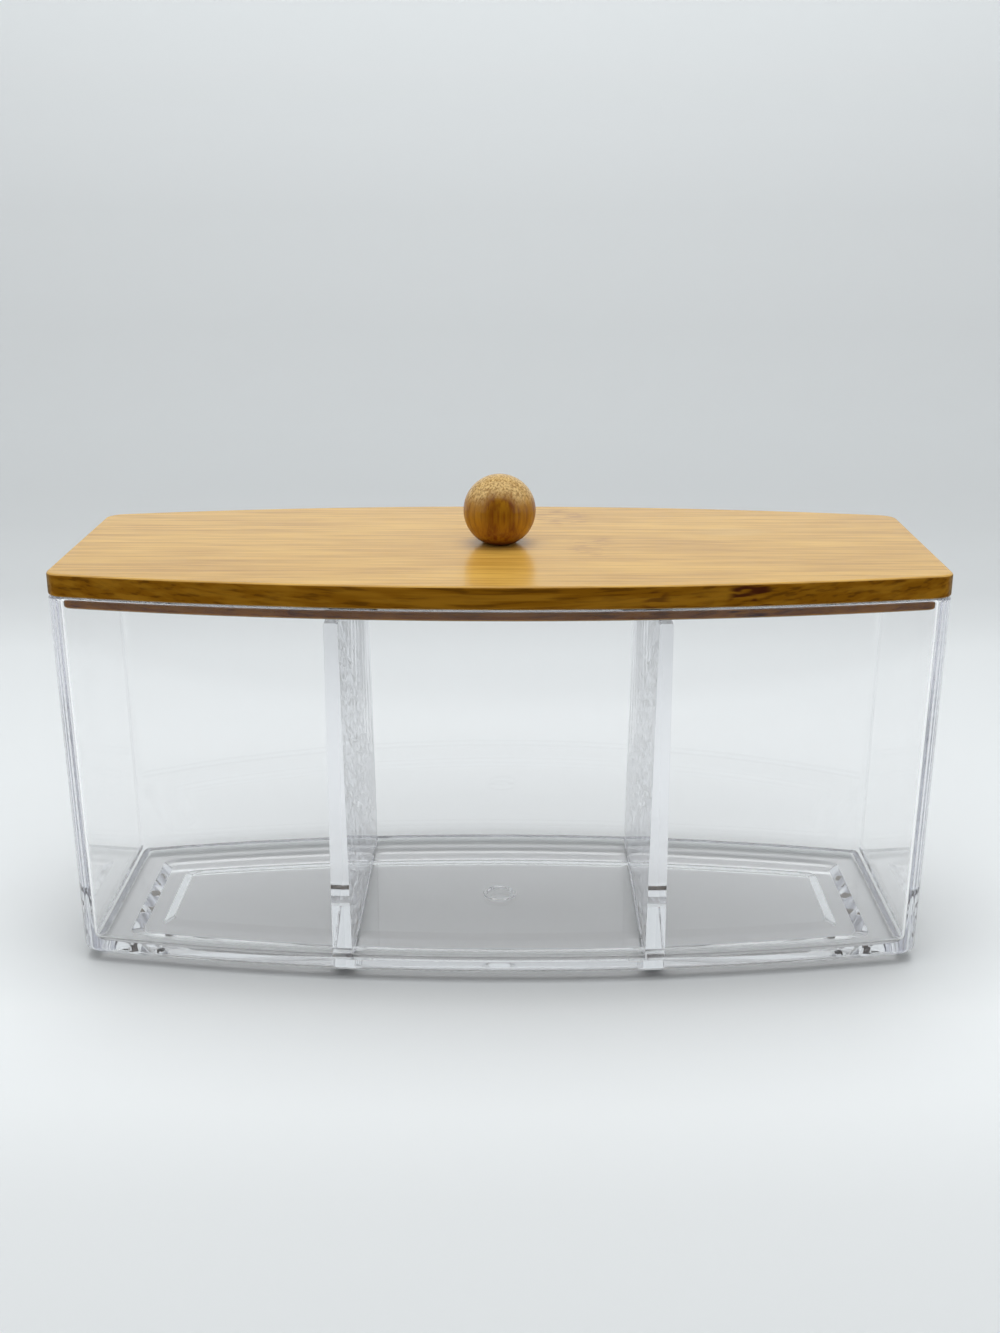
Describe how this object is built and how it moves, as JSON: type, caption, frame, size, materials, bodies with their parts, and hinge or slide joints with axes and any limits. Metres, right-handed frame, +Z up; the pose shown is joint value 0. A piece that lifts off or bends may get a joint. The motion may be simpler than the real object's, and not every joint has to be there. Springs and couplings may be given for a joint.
{
  "type": "bathroom organizer",
  "caption": "Clear bow-sided storage box with moulded-in dividers, and a lift-off bamboo lid with a plug underneath and a ball knob.",
  "frame": {"origin": "under the middle of the box, on the surface it stands on", "axes": "+X along the long side, +Y from front to back, +Z up, the way the lid lifts off"},
  "size_m": [0.235, 0.093, 0.1315],
  "materials": {
    "clear_plastic": "clear, high gloss",
    "bamboo_board": "lacquered bamboo, satin",
    "bamboo_ball": "lacquered bamboo, satin",
    "zinc_steel": "zinc plated"
  },
  "bodies": {
    "box": {"box": "clear_plastic"},
    "lid": {"lid": "bamboo_board", "knob": "bamboo_ball", "knob_screw": "zinc_steel"}
  },
  "joints": [
    {"name": "lid_lift", "type": "slide", "parent": "box", "child": "lid", "axis": [0, 0, 1], "range_m": [0, 0.15]}
  ]
}
